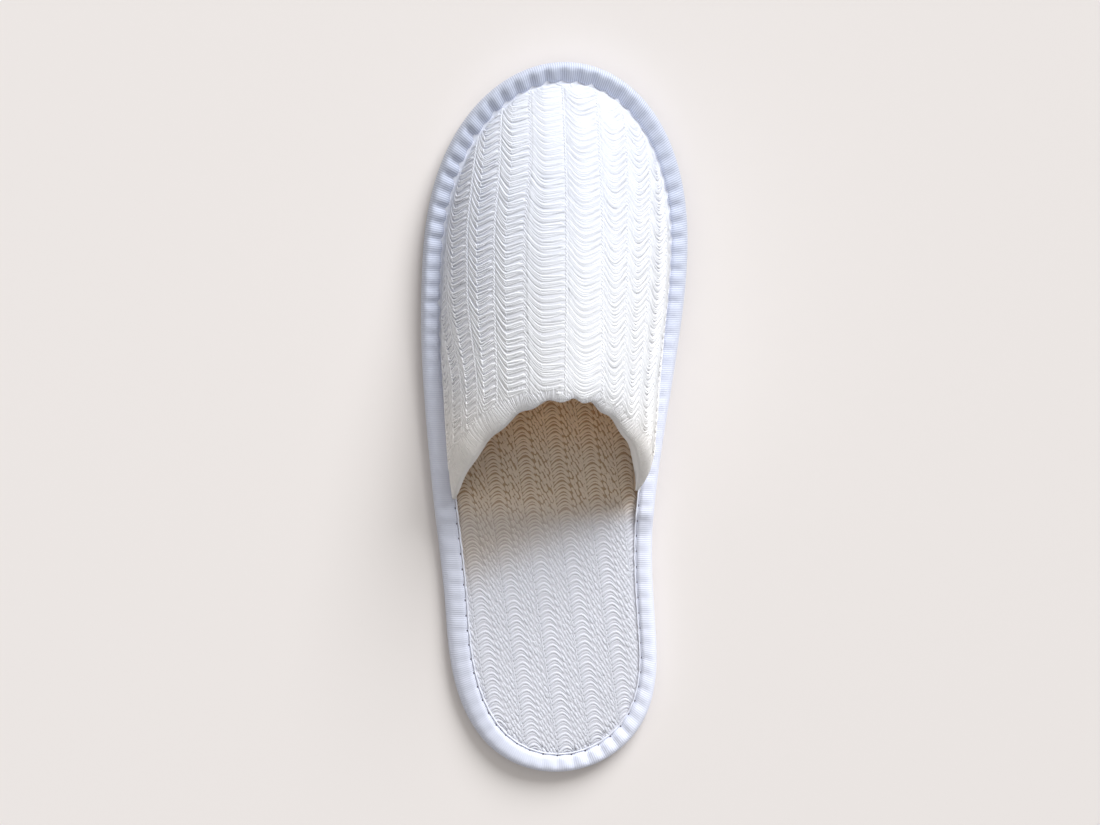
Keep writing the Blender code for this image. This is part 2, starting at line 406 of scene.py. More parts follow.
def skin_normal(across, place):
    small = 0.004
    across = min(max(across, -0.995), 0.995)
    place = min(max(place, FIRST_PLACE + 0.001), LENGTH - 0.0015)
    right = skin_point(across + small, place) - skin_point(across - small, place)
    ahead = skin_point(across, place + 0.0006) - skin_point(across, place - 0.0006)
    normal = right.cross(ahead)
    if normal.length < 1e-12:
        return Vector((0, 0, 1))
    return normal.normalized()


# Crest length: from the toe back to the throat.
crest_spots = section_spots[::-1]
crest_lengths = run_lengths([upper_point(0.0, spot) for spot in crest_spots])


def crest_place(length):
    """The place at a length back from the toe, along the crest."""
    if length <= 0:
        return LENGTH + 1e-3 - length
    i = min(bisect_right(crest_lengths, length) - 1, PLACE_SPOTS - 1)
    share = (length - crest_lengths[i]) / (crest_lengths[i + 1] - crest_lengths[i])
    return mix(crest_spots[i], crest_spots[i + 1], share)


def cloth_point(girth, place, lift):
    """A point over the dome, or None past the foot line or the throat's edge."""
    across = across_at(girth, place)
    if abs(across) > 1 or place < throat_place(across) or place > LENGTH:
        return None
    return skin_point(across, place) + skin_normal(across, place) * lift


# ---------------- making pieces
def put(name, data):
    """A new object, placed in the scene."""
    obj = bpy.data.objects.new(name, data)
    bpy.context.scene.collection.objects.link(obj)
    return obj


def mesh_from(name, bm, *made):
    """A mesh with its materials. It uses the bmesh up."""
    mesh = bpy.data.meshes.new(name)
    bm.to_mesh(mesh)
    bm.free()
    for one in made:
        mesh.materials.append(one)
    return mesh


def piece(name, bm, made, recalc=True):
    if recalc:
        bmesh.ops.recalc_face_normals(bm, faces=bm.faces)
    mesh = mesh_from(name, bm, *made)
    mesh.shade_smooth()
    obj = put(name, mesh)
    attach(obj, "root")
    return obj


def yarns(name, runs, made, sides=6, closed=False, squash=1.0):
    """Many yarns as one mesh. A run is a list of (point, radius), closed if it goes round the outline.
    Squash is the height of a yarn to its width, if the yarns are flattened on a level cloth."""
    curve = bpy.data.curves.new(name, "CURVE")
    curve.dimensions = "3D"
    curve.bevel_mode = "ROUND"
    curve.bevel_depth = 1.0
    curve.bevel_resolution = (sides - 4) // 2
    curve.use_fill_caps = True
    for run in runs:
        spline = curve.splines.new("POLY")
        spline.points.add(len(run) - 1)
        spline.points.foreach_set("co", [v for (x, y, z), _ in run for v in (x, y, z / squash, 1.0)])
        spline.points.foreach_set("radius", [radius for _, radius in run])
        spline.use_cyclic_u = closed
    holder = put(name + "_curve", curve)
    ready = holder.evaluated_get(bpy.context.evaluated_depsgraph_get())
    bm = bmesh.new()
    bm.from_mesh(ready.to_mesh())
    ready.to_mesh_clear()
    bpy.data.objects.remove(holder, do_unlink=True)
    bpy.data.curves.remove(curve)
    bmesh.ops.remove_doubles(bm, verts=bm.verts, dist=1e-7)
    bmesh.ops.scale(bm, vec=(1, 1, squash), verts=bm.verts)
    return piece(name, bm, [made])


# ---------------- materials
def fill_in(made, node, **values):
    """Fills in a node's settings, and its inputs by their names with _ for a space. A value can be the
    output of another node."""
    for name, value in values.items():
        label = name.replace("_", " ")
        if label not in node.inputs:
            setattr(node, name, value)
        elif isinstance(value, bpy.types.NodeSocket):
            made.node_tree.links.new(value, node.inputs[label])
        else:
            node.inputs[label].default_value = value
    return node


def add_node(made, kind, **values):
    return fill_in(made, made.node_tree.nodes.new("ShaderNode" + kind), **values)


def shader_of(made):
    return made.node_tree.nodes["Principled BSDF"]


def material(name, colour, roughness, sheen=0.0):
    made = bpy.data.materials.new(name)
    made.use_nodes = True
    fill_in(made, shader_of(made), Base_Color=(*colour, 1), Roughness=roughness, Sheen_Weight=sheen)
    return made


def blended(made, first, second, share):
    """The output of a blend between two colours, each given as a colour or as another node's output."""
    blend = add_node(made, "Mix", data_type="RGBA", Factor=share)
    for socket, colour in ((6, first), (7, second)):
        if isinstance(colour, tuple):
            blend.inputs[socket].default_value = (*colour, 1)
        else:
            made.node_tree.links.new(colour, blend.inputs[socket])
    return blend.outputs[2]


def ramp(made, axis, first, last, slant=0, low=0):
    """The output of a smooth ramp from low to 1, along an axis turned by a slant."""
    where = add_node(made, "TexCoord").outputs["Object"]
    turned = add_node(made, "Mapping", Vector=where, Rotation=(0, 0, slant)).outputs["Vector"]
    parts = add_node(made, "SeparateXYZ", Vector=turned)
    spread = add_node(made, "MapRange", interpolation_type="SMOOTHSTEP", Value=parts.outputs[axis])
    return fill_in(made, spread, From_Min=first, From_Max=last, To_Min=low).outputs["Result"]


def bump_by(made, height, strength, distance):
    bump = add_node(made, "Bump", Strength=strength, Distance=distance, Height=height)
    fill_in(made, shader_of(made), Normal=bump.outputs["Normal"])


def yarn_material(name, light, shade, soft=0.0):
    """Matt cotton: cloudy in its tone, with fibres as a fine bump. Soft yarn lets some light through."""
    made = material(name, light, 0.9, sheen=0.25)
    where = add_node(made, "TexCoord").outputs["Object"]
    cloud = add_node(made, "TexNoise", Vector=where, Scale=CLOUDS, Detail=3.0)
    fibre = add_node(made, "TexNoise", Vector=where, Scale=FIBRES, Detail=2.0)
    colour = blended(made, light, shade, cloud.outputs["Fac"])
    depth = {"Subsurface_Weight": soft, "Subsurface_Radius": (1, 1, 1), "Subsurface_Scale": YARN_DEPTH}
    fill_in(made, shader_of(made), Base_Color=colour, **depth)
    bump_by(made, fibre.outputs["Fac"], 0.5, FIBRE_BUMP)
    return made


def tinted(made, other, band):
    """Goes over from another colour to the material's own along a band."""
    was = shader_of(made).inputs["Base Color"].links[0].from_socket
    fill_in(made, shader_of(made), Base_Color=blended(made, other, was, ramp(made, "Y", *band)))


def tape_material(name, heel, toe):
    """Ribbed tape: ribs run across it, and its pattern follows its own length. The light and shade of the
    ribs are painted, given for the heel, where they hardly show, and for the toe, where they are darker as
    painted shade. Its left side is scaled darker: painted shade."""
    made = material(name, heel[0], 0.75, sheen=0.3)
    where = add_node(made, "UVMap", uv_map="tape").outputs["UV"]
    rib = add_node(made, "TexWave", Vector=where, Scale=0.314 / RIB, Distortion=0.6, Detail=1.0)
    fill_in(made, rib, Detail_Scale=1.0)
    at_heel, at_toe = (blended(made, shade, light, rib.outputs["Fac"]) for light, shade in (heel, toe))
    ribs = blended(made, at_heel, at_toe, ramp(made, "Y", TAPE_HEEL, TAPE_TOE))
    side = ramp(made, "X", TAPE_LEFT, TAPE_MIDDLE, low=TAPE_LEFT_SHADE)
    left_shaded = add_node(made, "VectorMath", operation="SCALE", Vector=ribs, Scale=side)
    fill_in(made, shader_of(made), Base_Color=left_shaded.outputs["Vector"])
    bump_by(made, rib.outputs["Fac"], 0.35, RIB_BUMP)
    return made


YARN_DEPTH = 0.0010
CLOUDS = 420.0
FIBRES = 2600.0
FIBRE_BUMP = 0.00012
RIB = 0.00085
RIB_BUMP = 0.0002
# The tape's ribs show more towards the toe, where the tape is painted darker as shade, and its left side is
# dimmer: painted shade.
TAPE_HEEL = -0.02
TAPE_TOE = 0.10
TAPE_LEFT = -0.036
TAPE_MIDDLE = 0.010
TAPE_LEFT_SHADE = 0.85

# Bands where one colour goes over to another: first and last distance along Y, and the slant that turns it.
# Painted shade: the toe goes over to a bluer, darker tone.
TOE_COOL_SHADE = (0.095, 0.020, radians(-20))
# Painted light: round the opening the upper goes over to a warmer, lighter tone, in the hem's shade.
HEM_WARM_LIGHT = (-0.008, 0.024, 0)
# Painted shadow of the upper on the insole, in three bands: its dim soft edge, its warm shade and its deep
# warm shade.
DIM_SHADOW = (-0.030, -0.054, radians(-24))
WARM_SHADOW = (-0.026, -0.042, 0)
DEEP_SHADOW = (0.006, -0.016, 0)

# The cloth under the yarns, on the upper and the insole, is a little darker than the yarn: painted shade
# where it shows in the gaps between the strands.
yarn_white = yarn_material("upper_yarn", (0.92, 0.93, 0.96), (0.88, 0.89, 0.93), soft=0.35)
cloth_white = yarn_material("upper_cloth", (0.82, 0.825, 0.87), (0.76, 0.765, 0.81), soft=0.35)
# Painted light and shade on the upper: it is bluer and darker at the toe, painted shade that stands in for
# the cool light there, and warmer and a little lighter round its opening, painted warm light in the hem's
# shade.
tinted(yarn_white, (0.76, 0.785, 0.865), TOE_COOL_SHADE)
tinted(cloth_white, (0.71, 0.735, 0.82), TOE_COOL_SHADE)
tinted(yarn_white, (0.96, 0.93, 0.90), HEM_WARM_LIGHT)
tinted(cloth_white, (0.93, 0.90, 0.87), HEM_WARM_LIGHT)
lining_cream = yarn_material("upper_lining", (0.80, 0.62, 0.44), (0.74, 0.56, 0.38))
insole_yarn = yarn_material("insole_yarn", (0.735, 0.75, 0.82), (0.69, 0.70, 0.77), soft=0.35)
insole_cloth = yarn_material("insole_cloth", (0.68, 0.68, 0.74), (0.63, 0.63, 0.69))
# The insole is white at the heel, then dimmer past a slanting line, and warm brown inside the upper: all
# painted shadow of the upper with the warm tone of its shade, and its cloth darker still between the strands
# there, painted shade in the gaps.
tinted(insole_yarn, (0.51, 0.455, 0.413), DIM_SHADOW)
tinted(insole_cloth, (0.40, 0.345, 0.31), DIM_SHADOW)
tinted(insole_yarn, (0.77, 0.645, 0.525), WARM_SHADOW)
tinted(insole_cloth, (0.44, 0.31, 0.20), WARM_SHADOW)
tinted(insole_yarn, (1.0, 0.72, 0.48), DEEP_SHADOW)
tinted(insole_cloth, (0.58, 0.33, 0.17), DEEP_SHADOW)
tape_blue = tape_material(
    "binding_tape",
    heel=((0.81, 0.84, 0.96), (0.74, 0.77, 0.91)),
    # The toe's colours are darker: painted shade on the tape there.
    toe=((0.645, 0.69, 0.805), (0.425, 0.46, 0.585)),
)
sole_grey = yarn_material("sole_cloth", (0.62, 0.60, 0.63), (0.55, 0.53, 0.57))
dot_white = material("sole_dots", (0.82, 0.82, 0.84), 0.45)
lip_white = yarn_material("tape_lip", (0.84, 0.86, 0.94), (0.76, 0.78, 0.88))
thread_white = yarn_material("stitch_thread", (0.80, 0.82, 0.90), (0.72, 0.74, 0.84))
# Painted shade: the stitch holes are dark blobs, not real holes.
painted_hole_shade = material("stitch_hole", (0.10, 0.09, 0.12), 0.95)

# ---------------- upper cloth
# Its mesh: steps across and along, crowded towards the throat, and the rows that its turned hem takes.
ACROSS_STEPS = 96
ALONG_STEPS = 72
ALONG_BEFORE_BALL = 40
ACROSS_CROWDING = 0.9
THROAT_CROWDING = 1.5
HEM_THICK = 0.0022
HEM_PINCH = 0.45
HEM_ROWS = 10
HEM_ROUND = 0.0010
UNDER_YARN = 0.0001


def upper_place(across, share):
    """The place at a share of the way from the throat's edge to the toe."""
    start = throat_place(across)
    side_share = ALONG_BEFORE_BALL / ALONG_STEPS
    if share < side_share:
        return start + (BALL - start) * (share / side_share) ** THROAT_CROWDING
    turn = (share - side_share) / (1 - side_share) * pi / 2
    return BALL + (LENGTH - BALL) * sin(turn) ** (2 / TOE_FULLNESS)


def build_upper_cloth():
    bm = bmesh.new()
    columns = ACROSS_STEPS + 2
    bmesh.ops.create_grid(bm, x_segments=columns, y_segments=ALONG_STEPS, size=1)
    column_of, row_of, inner = (bm.verts.layers.int.new(name) for name in ("column", "row", "inner"))
    for vert in bm.verts:
        vert[column_of] = round((vert.co.x + 1) / 2 * columns)
        vert[row_of] = round((vert.co.y + 1) / 2 * ALONG_STEPS)

    def lining_depth(across, hem_share):
        hem = HEM_THICK + curl_at(across)
        depth = WALL + (hem - WALL) * hem_share ** 1.5
        return depth * (1 - HEM_PINCH * across ** 8 * hem_share)

    def place_vert(vert):
        column, share = vert[column_of], vert[row_of] / ALONG_STEPS
        if column in (0, columns):
            side = LEFT if column == 0 else RIGHT
            place = upper_place(side, share)
            x = edge_x(place, side, FLANGE_INSET)
            vert.co = on_foot(x, along(place, FLANGE_INSET), FLANGE_TOP - FLANGE * vert[inner])
            return
        step = 2 * (column - 1) / ACROSS_STEPS - 1
        across = copysign(abs(step) ** ACROSS_CROWDING, step)
        place = upper_place(across, share)
        if vert[inner]:
            vert.co = upper_point(across, place, lining_depth(across, max(1 - vert[row_of] / HEM_ROWS, 0)))
        else:
            vert.co = skin_point(across, place, UNDER_YARN)

    for vert in bm.verts:
        place_vert(vert)
    bmesh.ops.remove_doubles(bm, verts=bm.verts, dist=1e-5)
    copied = bmesh.ops.extrude_face_region(bm, geom=bm.faces[:], use_keep_orig=True)["geom"]
    for item in copied:
        if isinstance(item, bmesh.types.BMFace):
            item.material_index = 1
        if isinstance(item, bmesh.types.BMVert):
            item[inner] = 1
            place_vert(item)
    throat = [
        edge
        for edge in bm.edges
        if all(vert[row_of] == 0 and 0 < vert[column_of] < columns for vert in edge.verts)
        and edge.verts[0][inner] == edge.verts[1][inner]
    ]
    bmesh.ops.bevel(
        bm, geom=throat, offset=HEM_ROUND, offset_type="OFFSET", segments=5, profile=0.5,
        affect="EDGES", clamp_overlap=True, material=-1,
    )
    obj = piece("upper_shell", bm, [cloth_white, lining_cream])
    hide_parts("upper")
    return obj


# ---------------- upper knit
# Each row runs from ridge to ridge as a few strands. They drop towards the heel to a knot, and rise again.
FIRST_COLUMN, LAST_COLUMN = -6, 6
KNIT_ROWS = int(crest_lengths[-1] / ROW) + 2
STRANDS = 3
STRAND_STEPS = 12
STRAND_FROM, STRAND_TO = 0.05, 1.01
STAND = 0.00092
TUCK = 0.00035
CROWN = 0.00045
TWIST_STEPS = 6
KNOT = 0.00055
FOOT_FADE = 0.04
SHARP_FALL = 0.88
RELIEF_LEFT = 0.56
RELIEF_MIDDLE = 0.10
RELIEF_RIGHT = 0.42
RELIEF_SPAN = 0.46

# Width of the smooth band round the throat, in shares of HEM_BAND.
HEM_SHARES = table(
    "across share",
    (-1, 2.0), (-0.6, 1.9), (-0.25, 0.9), (0, 0.4), (0.3, 0.6), (0.6, 1.0), (1, 1.5),
)

# One run of random numbers varies all the yarns, in the order that they are built.
vary = random.Random(11).uniform


def sharpness(column):
    """1 where the cloth is stretched over the outer wall and its strands turn sharply at the knots."""
    return mix(0.25, 1.0, ease((0.5 - column) / 2.5))


def relief(column):
    """How far the strands stand out of the cloth: most over the outer wall, little over the middle."""
    inner = mix(RELIEF_MIDDLE, RELIEF_RIGHT, ease(column / 3.5))
    return mix(inner, RELIEF_LEFT, ease((-1.1 - column) / 2.2))


def relief_share(column):
    return (relief(column) - RELIEF_MIDDLE) / RELIEF_SPAN


def strand_fall(c, column):
    """How far a strand has dropped towards the heel at a share of the period, steep off the ridge."""
    sharp = sharpness(column)
    turn = mix(KNOT_AT + 0.09, KNOT_AT, sharp)
    share = min(max(c - STRAND_FROM, 0) / (turn - STRAND_FROM), 1.0)
    drop = mix(FALL, FALL * SHARP_FALL, sharp) * (1 - (1 - share) ** mix(2.1, 1.45, sharp))
    if c > turn:
        inner = mix(RISE_LEFT, RISE_RIGHT, ease((column + 1.2) / 2.4))
        rise = mix(RISE_OUTER, inner, ease((column + 3.0) / 2.0))
        drop -= rise * ((c - turn) / (1 - turn)) ** mix(1.7, 1.15, sharp)
    return drop


def knit_spot(column, length):
    """Girth and place of a spot in the knit, by its column and its length back from the toe."""
    place = crest_place(length)
    throat, ball, ball_end, toe = RIDGE_PLACES
    by_ball = read_table(RIDGES, "ball", column)
    if place < ball:
        by_throat = read_table(RIDGES, "throat", column)
        return mix(by_throat, by_ball, ease((place - throat) / (ball - throat))), place
    if place > ball_end:
        by_toe = read_table(RIDGES, "toe", column)
        return mix(by_ball, by_toe, ease((place - ball_end) / (toe - ball_end))), place
    return by_ball, place


def fade_ends(run):
    """Draws the ends of a yarn thin."""
    (first, first_radius), (last, last_radius) = run[0], run[-1]
    return [(first, first_radius * 0.5), *run[1:-1], (last, last_radius * 0.5)]


def split_runs(spots):
    """Splits (point, radius) spots into runs wherever there is no point."""
    runs, run = [], []
    for point, radius in spots + [(None, 0)]:
        if point is not None:
            run.append((point, radius))
            continue
        if len(run) > 2:
            runs.append(fade_ends(run))
        run = []
    return runs


def hem_width(across):
    """How wide the smooth band round the throat is: narrow over the crest, wide down the left."""
    return HEM_BAND * read_table(HEM_SHARES, "share", across)


def cut_runs(spots, ragged=0, foot=0.99):
    """Splits (girth, place, lift, radius) spots into runs that lie on the dome, clear of the hem."""
    found = []
    for girth, place, lift, radius in spots:
        point = None
        if FIRST_PLACE < place < LENGTH:
            across = across_at(girth, place)
            edge = to_throat(across, place) if abs(across) <= foot else 0
            hem = hem_width(across) + ragged
            if edge > hem:
                near = ease((edge - hem) / 0.0025) * ease((foot - abs(across)) / FOOT_FADE)
                point = cloth_point(girth, place, mix(-radius * 0.8, lift, near))
        found.append((point, radius))
    return split_runs(found)


def build_upper_yarns():
    runs = {LEFT: [], RIGHT: []}
    for column in range(FIRST_COLUMN, LAST_COLUMN):
        side = LEFT if column < 0 else RIGHT
        for row in range(-2, KNIT_ROWS):
            row_shift = vary(-0.0002, 0.0002)
            for strand in range(STRANDS):
                shift = row_shift + vary(-0.00018, 0.00018)
                stand = vary(0.80, 1.10) * relief(column) * (1 - 0.14 * strand)
                thick = YARN * vary(0.78, 1.12) * mix(2.3, 0.85, relief_share(column) ** 0.7)
                height = STAND * stand - thick
                wander = vary(0, 2 * pi)
                swing = vary(0.00010, 0.00036)
                spots = []
                last = STRAND_TO + (0.05 if strand else vary(-0.06, 0.02))
                for k in range(STRAND_STEPS + 1):
                    t = k / STRAND_STEPS
                    c = mix(STRAND_FROM, last, t)
                    spread = mix(0.23, 0.15, ease((c - 0.60) / 0.4))
                    length = (row + spread * strand) * ROW + strand_fall(c, column)
                    length += shift + swing * sin(wander + 5.5 * t)
                    swell = min(t / 0.12, 0.45 + (1 - t) / 0.22, 1.0)
                    crown = CROWN * relief(column) * exp(-(((c - KNOT_AT) / 0.10) ** 2))
                    lift = mix(-TUCK, height, swell) + crown
                    spots.append((*knit_spot(column + c, length), lift, thick))
                runs[side] += cut_runs(spots, vary(-0.0010, 0.0010))
    made = [
        yarns(name, runs[side], yarn_white, sides=8)
        for name, side in (("upper_yarns_left", LEFT), ("upper_yarns_right", RIGHT))
    ]
    return made


def build_upper_knots():
    """Small knots where the rows turn, over the outer wall."""
    runs = []
    for column in range(FIRST_COLUMN, LAST_COLUMN):
        if sharpness(column) < 0.5:
            continue
        for row in range(-2, KNIT_ROWS):
            spots = []
            lean = vary(0.85, 1.15)
            for k in range(5):
                t = k / 2 - 1
                c = KNOT_AT - 0.01 + 0.040 * t * lean
                length = (row + 0.25) * ROW + SHARP_FALL * FALL - 0.0003 + 0.00125 * t
                bulge = 1 - 0.75 * t * t
                lift = relief(column) * (0.00055 + 0.00040 * bulge)
                thick = KNOT * relief(column) * sqrt(bulge)
                spots.append((*knit_spot(column + c, length), lift, thick))
            runs += cut_runs(spots, foot=0.93)
    obj = yarns("upper_knots", runs, yarn_white)
    return obj


def build_upper_ridges():
    """Two thin threads twist round each other along each ridge."""
    runs = []
    for column in range(FIRST_COLUMN, LAST_COLUMN + 1):
        for phase in (0.0, pi):
            spots = []
            for k in range(-2 * TWIST_STEPS, KNIT_ROWS * TWIST_STEPS):
                turn = 2 * pi * k / TWIST_STEPS + phase
                c = 0.034 + (0.018 if column == 0 else 0.030) * sin(turn)
                length = k / TWIST_STEPS * ROW
                thick = 0.00028 if column == 0 else 0.00024
                lift = mix(-0.00013, 0.00008, relief_share(column)) + 0.00008 * cos(turn)
                spots.append((*knit_spot(column + c, length), lift, thick))
            runs += cut_runs(spots)
    obj = yarns("upper_ridges", runs, yarn_white)
    return obj


GATHERS = 320
GATHER = 0.00015
GATHER_LIFT = 0.00001
GATHER_SPOTS = (0.0078, 0.0062, 0.0047, 0.0034, 0.0022, 0.0012, 0.0005, 0.0001)


def build_hem_gathers():
    """Fine strands that run over the curled hem, square to the throat's edge."""
    runs = []
    ends = [mix(-0.985, 0.985, k / (4 * GATHERS)) for k in range(4 * GATHERS + 1)]
    edge = [Vector((girth_at(a, throat_place(a)), throat_place(a))) for a in ends]
    lengths = run_lengths(edge)
    for k in range(GATHERS):
        length = lengths[-1] * (k + vary(0.2, 0.8)) / GATHERS
        i = min(max(bisect_right(lengths, length) - 1, 3), len(edge) - 5)
        along_edge = (edge[i + 3] - edge[i - 3]).normalized()
        inward = Vector((-along_edge.y, along_edge.x))
        if inward.y < 0:
            inward = -inward
        reach = vary(0.75, 1.1) * min(hem_width(ends[i]) / HEM_BAND, 1.3)
        slant = vary(-0.10, 0.10)
        thick = GATHER * vary(0.8, 1.2)
        run = []
        for distance in GATHER_SPOTS:
            spot = edge[i] + inward * distance * reach + along_edge * slant * distance
            across = across_at(spot.x, spot.y)
            lift = GATHER_LIFT if run else -GATHER_LIFT
            if abs(across) < 0.995:
                run.append((skin_point(across, spot.y) + skin_normal(across, spot.y) * lift, thick))
        if len(run) > 3:
            edge_spot, normal = run[-1][0], skin_normal(across, spot.y)
            onward = (edge_spot - run[-3][0]).normalized()
            run.append((edge_spot + onward * 0.0004 - normal * 0.0007, thick))
            run.append((edge_spot + onward * 0.0002 - normal * 0.0017, thick))
            runs.append(fade_ends(run))
    obj = yarns("hem_gathers", runs, yarn_white, sides=4)
    return obj


# ---------------- binding tape
# Rows across the tape: how far in from the outline, and a height over the floor or down from its top.
UNDER_ROWS = (
    (1.13, 0.0007), (1.08, 0.0002), (1.02, 0.0001), (0.97, 0.0008), (0.92, 0.0007), (0.84, 0.0002),
    (0.68, 0.0000), (0.50, 0.0002), (0.32, 0.0006), (0.17, 0.0014), (0.06, 0.0024), (0.00, 0.0038),
)
OVER_ROWS = (
    (0.00, 0.0036), (0.03, 0.0023), (0.09, 0.0012), (0.19, 0.0005), (0.32, 0.0001), (0.46, 0.0000),
    (0.60, 0.0001), (0.73, 0.0002), (0.83, 0.0004), (0.90, 0.0008), (0.94, 0.0013), (0.98, 0.0016),
    (1.00, 0.0020),
)
TAPE_ROWS = table(
    "reach height over", *[(*row, False) for row in UNDER_ROWS], *[(*row, True) for row in OVER_ROWS],
)
TAPE_WIDTH = 0.026
TAPE_CLOTH = 0.0006
UNDER_REACH = 0.0082
TOE_ROLL = 0.0016
LEFT_LEAN = 0.0016
PUCKER_IN = 0.0006
TAPE_COLUMNS = 620
STITCH = 0.0063

# How far the top flap reaches in, up the right side and down the left.
FLAPS = table(
    "turn reach",
    (0.00, 0.0076), (0.20, 0.0068), (0.45, 0.0070), (0.60, 0.0070), (0.85, 0.0078), (1.00, 0.0082),
    (1.20, 0.0080), (1.45, 0.0080), (1.60, 0.0086), (1.80, 0.0084), (2.00, 0.0076),
)

fold = random.Random(5).uniform
STITCHES = round(LOOP / STITCH)
pucker_size = [fold(0.45, 1.0) for _ in range(STITCHES)]


def flap_reach(turn):
    return read_table(FLAPS, "reach", turn)


def toe_share(turn):
    return ease((turn - 0.74) / 0.2) * ease((1.50 - turn) / 0.15)


def left_share(turn):
    return ease((turn - 0.98) / 0.15) * ease((1.96 - turn) / 0.15)


def pucker_at(length):
    """The turn at a length, how deep the puckers are there, and a pull that is 1 at each stitch."""
    k = length / LOOP * STITCHES
    near = [pucker_size[(int(k) + step) % STITCHES] for step in (0, 1)]
    size = mix(near[0], near[1], ease(k - int(k)))
    turn = turn_at(length)
    toe = toe_share(turn)
    inner = 0.5 * ease((turn - 0.55) / 0.1)
    heel = 0.6 * (ease((0.24 - turn) / 0.12) + ease((turn - 1.92) / 0.08))
    pull = (0.5 + 0.5 * cos(2 * pi * k)) ** 1.6
    return turn, size * max(toe, inner * (turn < 1), heel, 0.22), pull


def tape_point(row, length, inward):
    """A point of the tape, drawn in by the thickness of its cloth on its inner side."""
    turn, size, pull = pucker_at(length)
    place = turn_place(turn)
    reach = flap_reach(turn) if row.over else UNDER_REACH
    near_edge = ease((row.reach - 0.05) / 0.50) * (1 - 0.5 * ease((row.reach - 0.70) / 0.30))
    inset = row.reach * reach - PUCKER_IN * size * pull * ease((row.reach - 0.5) / 0.4)
    sag = (0.00200 * pull - 0.00045) * size * near_edge
    z = row.height + 0.4 * max(sag, 0)
    if row.over:
        roll = TOE_ROLL * toe_share(turn) * ease(row.reach / 0.2)
        roll *= 1 - ease((row.reach - 0.2) / 0.8)
        lean = LEFT_LEAN * left_share(turn) * ease((row.reach + 0.03) / 0.12) * max(1 - row.reach, 0)
        lean *= mix(1, 0.25, ease((place - STEP_FROM + 0.01) / 0.01))
        z = tape_top(place) + 0.0004 - row.height - sag + roll - lean
    if inward:
        inset += inward * max(1 - row.reach * 2.5, 0)
        z += inward * (-1 if row.over else 1) * min(row.reach * 2.5, 1)
    return edge_point(turn, inset, z)


def build_tape():
    outline = TAPE_ROWS + TAPE_ROWS[::-1]
    count = len(TAPE_ROWS)
    bm = bmesh.new()
    bmesh.ops.create_grid(bm, x_segments=TAPE_COLUMNS, y_segments=len(outline), size=1)
    across = bm.loops.layers.uv.new("tape")
    spots = {
        vert: (
            round((vert.co.x + 1) / 2 * TAPE_COLUMNS),
            round((vert.co.y + 1) / 2 * len(outline)) % len(outline),
        )
        for vert in bm.verts
    }
    reach = [k / (count - 1) * TAPE_WIDTH for k in range(count)]
    for face in bm.faces:
        for corner in face.loops:
            column, line = spots[corner.vert]
            shown = line if line < count else len(outline) - 1 - line
            corner[across].uv = (column / TAPE_COLUMNS * LOOP, reach[shown])
    for vert, (column, line) in spots.items():
        length = column / TAPE_COLUMNS * LOOP
        vert.co = tape_point(outline[line], length, TAPE_CLOTH if line >= count else 0)
    bmesh.ops.remove_doubles(bm, verts=bm.verts, dist=1e-6)
    obj = piece("binding_tape", bm, [tape_blue])
    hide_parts("binding")
    return obj


# Stitches and lips lie at a share of the flap's reach, sunk below the tape's top, or at a height underneath.
STITCH_ROW = 0.94
STITCH_SINK = 0.0011
PUCKER_DOWN = 0.0005
UNDER_STITCH_ROW = 0.95
UNDER_STITCH_Z = 0.0009
THREAD = 0.00024
HOLE = 0.00055
LIP_ROW = 1.045
LIP_SINK = 0.0010
UNDER_LIP_ROW = 1.06
UNDER_LIP_Z = 0.0007
LIP = 0.00036
LIP_SPOTS = 700


def stitch_spot(length, top, lift):
    turn, size, pull = pucker_at(length)
    if top:
        inset = STITCH_ROW * flap_reach(turn) - PUCKER_IN * size * pull
        z = tape_top(turn_place(turn)) - STITCH_SINK - PUCKER_DOWN * size * pull + lift
        return edge_point(turn, inset, z)
    return edge_point(turn, UNDER_STITCH_ROW * UNDER_REACH, UNDER_STITCH_Z - lift)


def build_stitches():
    """Thread between the stitch holes, on top and underneath, and the small dark blobs sunk where it goes
    in: painted shade of the holes.
    """
    threads, holes = [], []
    for k in range(STITCHES):
        for top in (True, False):
            run = []
            for j in range(8):
                t = j / 7
                length = LOOP * (k + mix(0.10, 0.90, t)) / STITCHES
                lift = mix(-0.0003, 0.00018, min(t / 0.2, (1 - t) / 0.2, 1.0))
                run.append((stitch_spot(length, top, lift), THREAD))
            threads.append(run)
            spot = LOOP * k / STITCHES
            low, high = stitch_spot(spot, top, -0.0004), stitch_spot(spot, top, 0.00012)
            holes.append([(low, HOLE * 0.6), (low.lerp(high, 0.6), HOLE), (high, HOLE * 0.5)])
    obj = yarns("stitch_threads", threads, thread_white, sides=4)
    obj = yarns("stitch_holes", holes, painted_hole_shade)


def build_lips():
    """The folded edge of the tape shows as a thin bead just inside the stitches, on top and underneath."""
    beads = []
    for top in (True, False):
        run = []
        for k in range(LIP_SPOTS):
            length = LOOP * k / LIP_SPOTS
            turn, _, pull = pucker_at(length)
            wave = 0.00025 * (pull - 0.4) + 0.00012 * sin(length * 2100 + 1.5 * sin(length * 700))
            if top:
                inset = LIP_ROW * flap_reach(turn) - 0.5 * wave
                z = tape_top(turn_place(turn)) - LIP_SINK - wave
            else:
                inset = UNDER_LIP_ROW * UNDER_REACH - 0.5 * wave
                z = UNDER_LIP_Z + 0.5 * wave
            run.append((edge_point(turn, inset, z), LIP))
        beads.append(run)
    yarns("tape_lips", beads, lip_white, sides=6, closed=True)


# ---------------- insole
INSOLE_STEPS = 7
INSOLE_SHIFT = 0.0160
INSOLE_KNIT_TOP = 0.236


